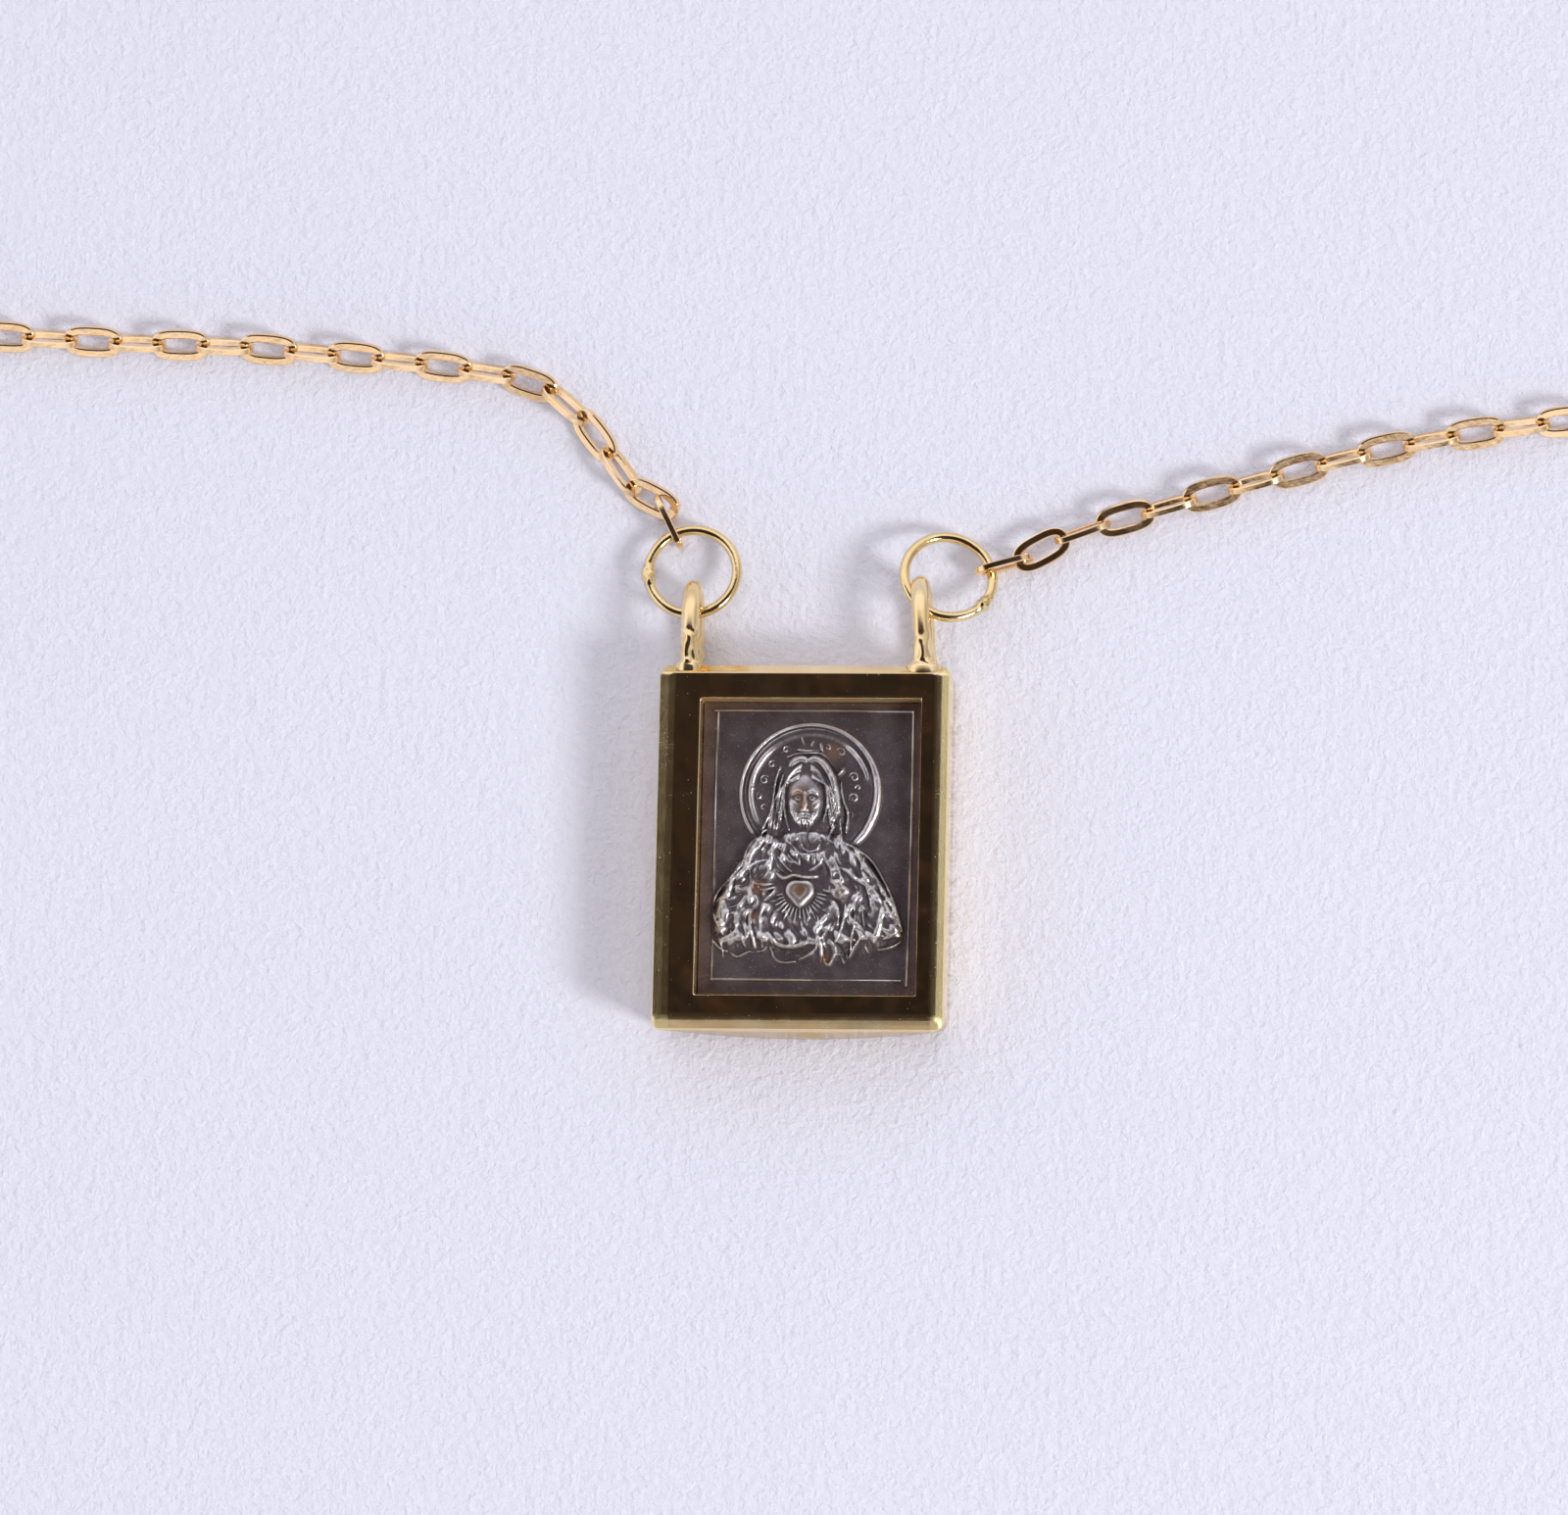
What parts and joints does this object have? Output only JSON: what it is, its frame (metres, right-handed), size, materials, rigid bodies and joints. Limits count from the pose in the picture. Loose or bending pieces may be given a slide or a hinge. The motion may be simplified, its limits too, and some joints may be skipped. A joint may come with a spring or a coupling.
{
  "type": "religious medal pendant",
  "caption": "Rectangular gold box medal with a cast silver relief plate of a robed half-length figure, on two bails and jump rings, with its whole cable chain and a barrel clasp.",
  "frame": {"origin": "centre of the flat back of the case, which lies on the surface", "axes": "+Z out of the front of the medal, +Y from the case towards the bails and the chain, +X to the right of the medal seen from the front"},
  "size_m": [0.1594, 0.1449, 0.0032],
  "materials": {
    "polished_gold": "polished yellow gold with fine scratches",
    "chain_gold": "bright drawn gold wire",
    "dark_silver": "cast silver, darkened in the hollows and rubbed bright on the high places"
  },
  "bodies": {
    "root": {"case": "polished_gold", "relief_plate": "dark_silver", "jump_ring_left": "chain_gold", "jump_ring_right": "chain_gold", "end_link_left": "chain_gold", "end_link_right": "chain_gold", "chain_left": "chain_gold", "chain_right": "chain_gold", "clasp": "chain_gold"}
  },
  "joints": []
}
